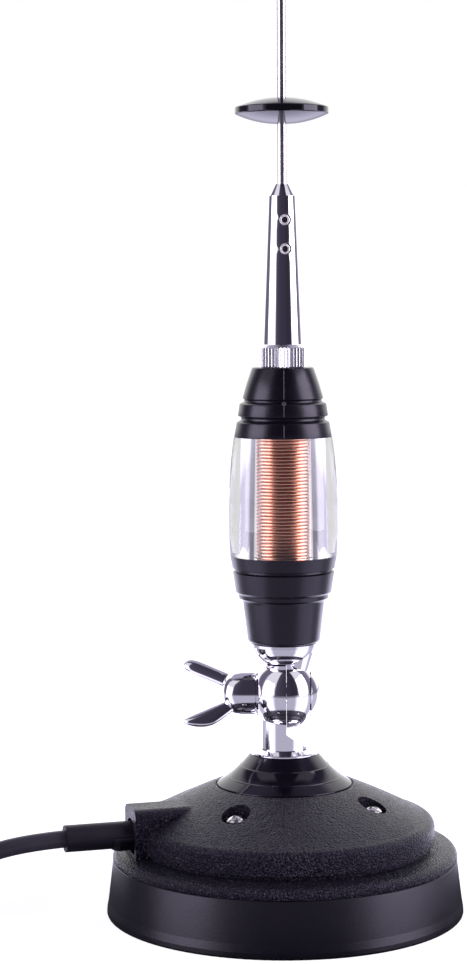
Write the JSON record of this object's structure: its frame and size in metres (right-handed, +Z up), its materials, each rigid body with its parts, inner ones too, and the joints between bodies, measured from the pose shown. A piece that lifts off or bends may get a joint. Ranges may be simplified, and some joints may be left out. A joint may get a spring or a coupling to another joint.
{
  "type": "magnet mount cb antenna",
  "caption": "Magnet-base radio antenna with tilting ball knuckle, clear-housed copper loading coil, steel whip with disc, and coaxial cable ending in a screw-ring plug.",
  "frame": {"origin": "on the floor under the whip, at the centre of the round base", "axes": "+Z up along the whip, -Y towards the front, the wing nut points to -X along the tilt axis"},
  "size_m": [0.2817, 0.1628, 0.65],
  "materials": {
    "boot_rubber": "satin moulded rubber",
    "plated_steel": "zinc plated",
    "ferrite": "sintered, dull",
    "grained_abs": "leather grain",
    "screw_steel": "bright plated",
    "gloss_black": "high gloss",
    "chrome": "mirror plated",
    "tinned_brass": "tinned",
    "shrink_sleeve": "satin",
    "cable_jacket": "satin vinyl",
    "tie_plastic": "matte",
    "satin_black": "satin moulded",
    "brass": "turned",
    "former_board": "satin",
    "copper": "bare drawn wire",
    "clear_plastic": "clear, polished",
    "stainless": "drawn, bright",
    "disc_black": "satin gloss",
    "nickel": "nickel plated",
    "plug_resin": "moulded resin"
  },
  "bodies": {
    "base": {"rubber_boot": "boot_rubber", "steel_cup": "plated_steel", "ring_magnet": "ferrite", "centre_pole": "plated_steel", "base_cover": "grained_abs", "cover_screws": "screw_steel", "cone_collar": "gloss_black", "lower_knuckle": "chrome", "solder_tag": "tinned_brass", "lock_washer": "screw_steel", "clamp_nut": "plated_steel", "centre_conductor": "copper", "braid_lead": "tinned_brass", "ground_tag": "tinned_brass", "ground_screw": "screw_steel", "cable_clip": "plated_steel", "cable_grommet": "boot_rubber", "cable_sleeve": "shrink_sleeve", "cable_end": "cable_jacket", "cable": "cable_jacket", "cable_coil": "cable_jacket", "coil_ties": "tie_plastic", "cable_tail": "cable_jacket", "plug_body": "nickel", "plug_reducer": "nickel", "plug_insulator": "plug_resin", "plug_pin": "nickel"},
    "radiator": {"upper_knuckle": "chrome", "pivot_bolt": "chrome", "clamp_washer": "chrome", "lower_cap": "satin_black", "lower_insert": "brass", "coil_former": "former_board", "coil_winding": "copper", "clear_shell": "clear_plastic", "upper_cap": "satin_black", "upper_insert": "brass", "whip_holder": "chrome", "set_screws": "screw_steel"},
    "wing": {"wing_nut": "chrome"},
    "whip_rod": {"whip": "stainless", "wind_disc": "disc_black"},
    "coupling_ring": {"plug_ring": "nickel"}
  },
  "joints": [
    {"name": "tilt", "type": "hinge", "parent": "base", "child": "radiator", "pos_m": [0.0008, 0, 0.077], "axis": [1, 0, 0], "range_deg": [-90, 90]},
    {"name": "wing_turn", "type": "hinge", "parent": "radiator", "child": "wing", "pos_m": [-0.0156, 0, 0.077], "axis": [-1, 0, 0], "range_deg": [0, 360]},
    {"name": "whip_slide", "type": "slide", "parent": "radiator", "child": "whip_rod", "axis": [0, 0, 1], "range_m": [-0.018, 0.006]},
    {"name": "ring_spin", "type": "hinge", "parent": "base", "child": "coupling_ring", "pos_m": [-0.21, 0.0785, 0.0092], "axis": [0, 1, 0], "continuous": true}
  ]
}
